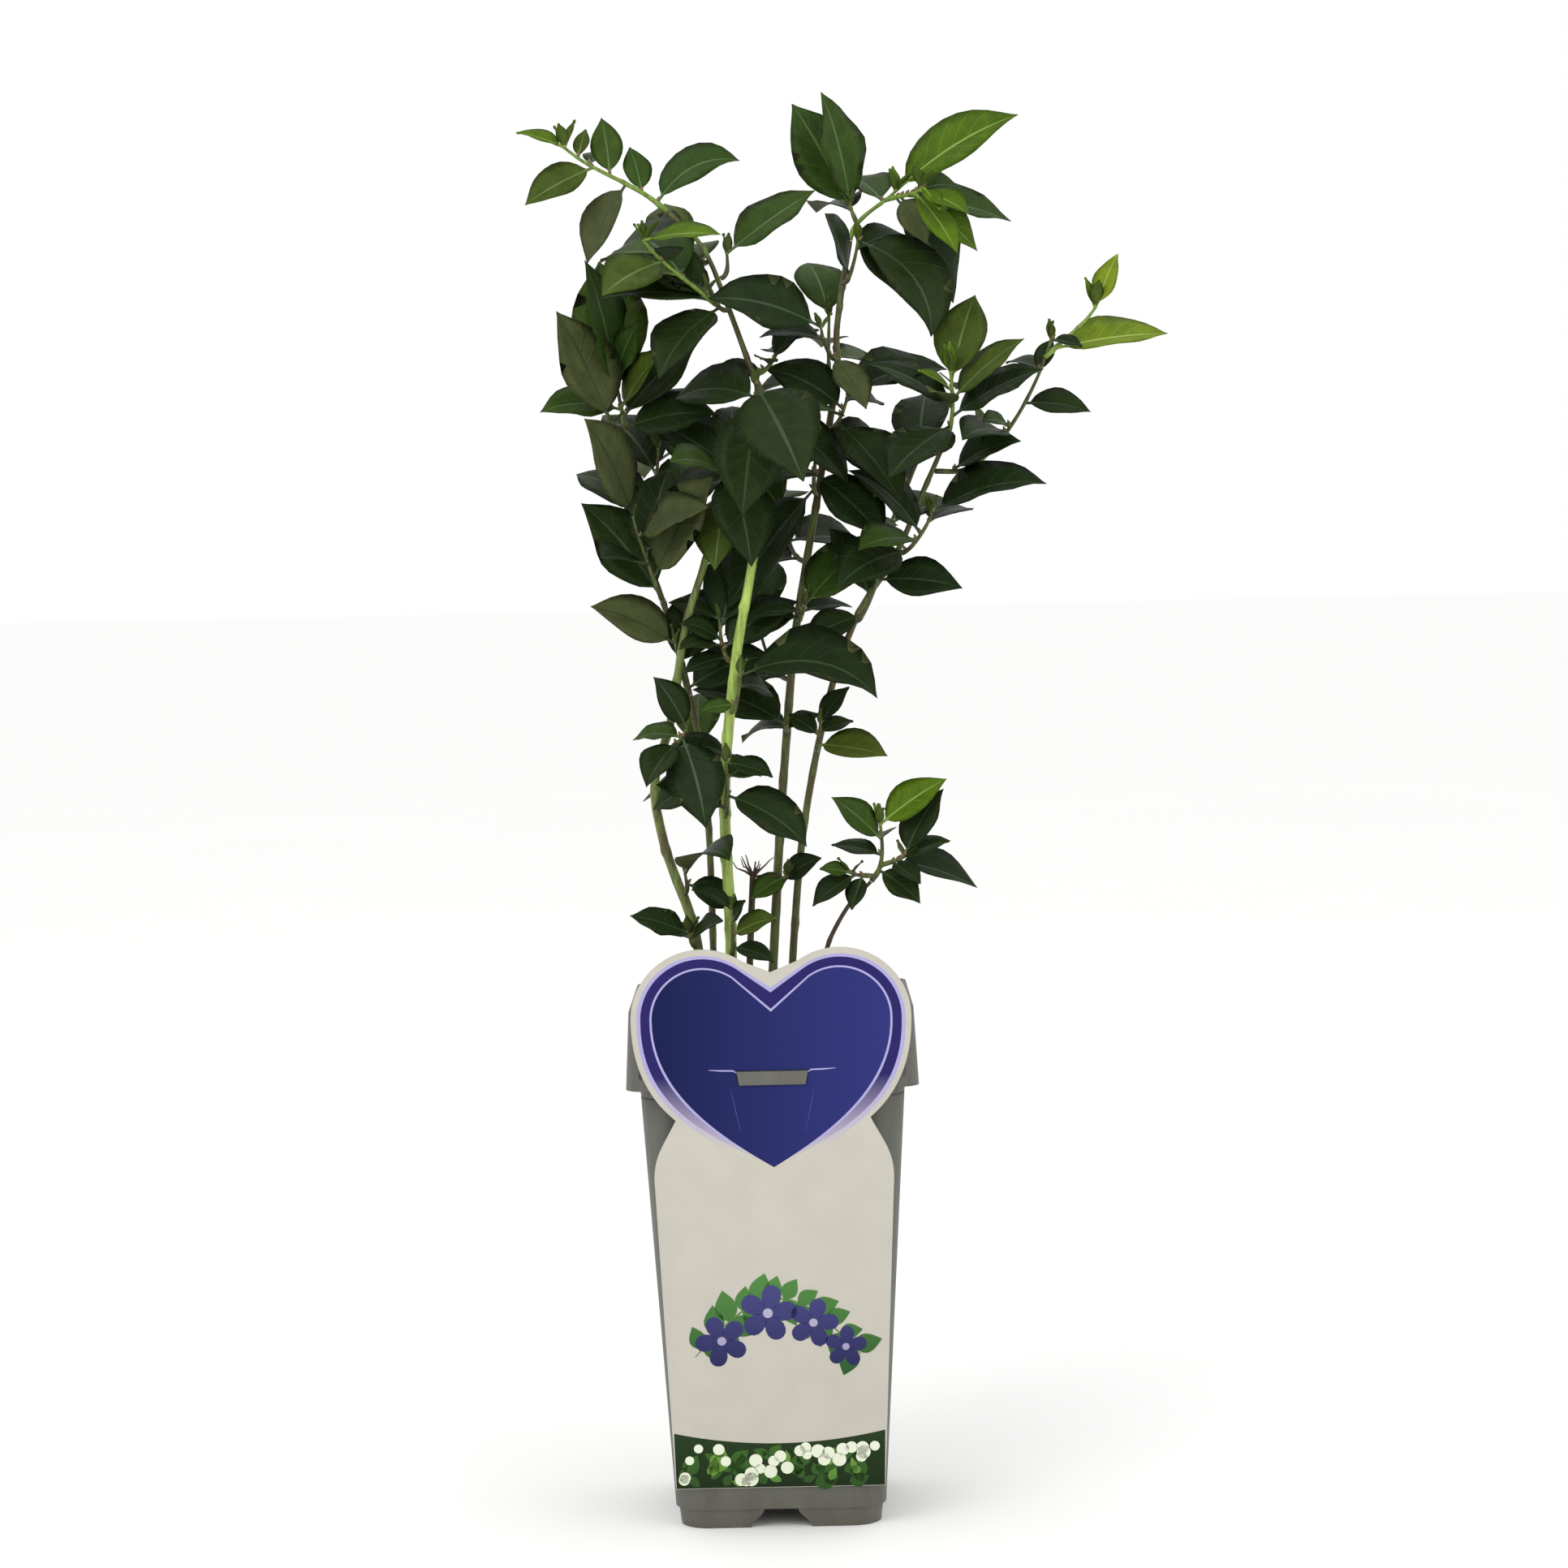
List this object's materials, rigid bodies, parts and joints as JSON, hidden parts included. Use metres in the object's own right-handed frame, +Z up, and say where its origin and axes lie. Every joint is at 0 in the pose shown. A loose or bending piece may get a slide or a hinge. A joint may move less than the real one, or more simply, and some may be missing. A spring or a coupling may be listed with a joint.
{
  "type": "potted blueberry bush",
  "caption": "Young blueberry bush with upright green stems and dark leaves, in a square nursery pot with a heart-headed label card on its front.",
  "frame": {"origin": "middle of the pot's flat underside, where its feet stand", "axes": "+Z up the plant, -Y out of the front of the pot where the label hangs, +X to the right as seen from the front"},
  "size_m": [0.2467, 0.1374, 0.5431],
  "materials": {
    "pot_plastic": "matte recycled grey",
    "label_board": "printed card, cream with a blue heart",
    "peat": "dark crumbly peat",
    "green_bark": "young green bark",
    "dry_bark": "dry brown bark",
    "leaf": "dark green, slightly waxy leaf"
  },
  "bodies": {
    "root": {"bough_left_fork": "green_bark", "label_card": "label_board", "leaves_back_centre": "leaf", "leaves_back_far": "leaf", "leaves_back_left": "leaf", "leaves_back_low": "leaf", "leaves_back_middle": "leaf", "leaves_back_right": "leaf", "leaves_back_top": "leaf", "leaves_centre": "leaf", "leaves_far_right": "leaf", "leaves_foot": "leaf", "leaves_fork_right": "leaf", "leaves_heart": "leaf", "leaves_left_foot": "leaf", "leaves_left_low": "leaf", "leaves_left_middle": "leaf", "leaves_left_top": "leaf", "leaves_low_arch": "leaf", "leaves_low_left": "leaf", "leaves_low_middle": "leaf", "leaves_low_right": "leaf", "leaves_middle": "leaf", "leaves_middle_back": "leaf", "leaves_right_crown": "leaf", "leaves_right_foot": "leaf", "leaves_right_fork": "leaf", "leaves_right_inner": "leaf", "leaves_right_low": "leaf", "leaves_right_middle": "leaf", "leaves_right_node": "leaf", "leaves_right_stem": "leaf", "leaves_stem_right_base": "leaf", "leaves_stem_right_foot": "leaf", "leaves_stem_right_low": "leaf", "leaves_top_left": "leaf", "leaves_top_right": "leaf", "leaves_upper_left": "leaf", "leaves_upper_right": "leaf", "pot": "pot_plastic", "soil": "peat", "stem_far_right": "green_bark", "stem_left": "green_bark", "stem_low_right": "green_bark", "stem_middle": "green_bark", "stem_pruned": "dry_bark", "stem_right": "green_bark", "stem_thin_left": "green_bark"}
  },
  "joints": []
}
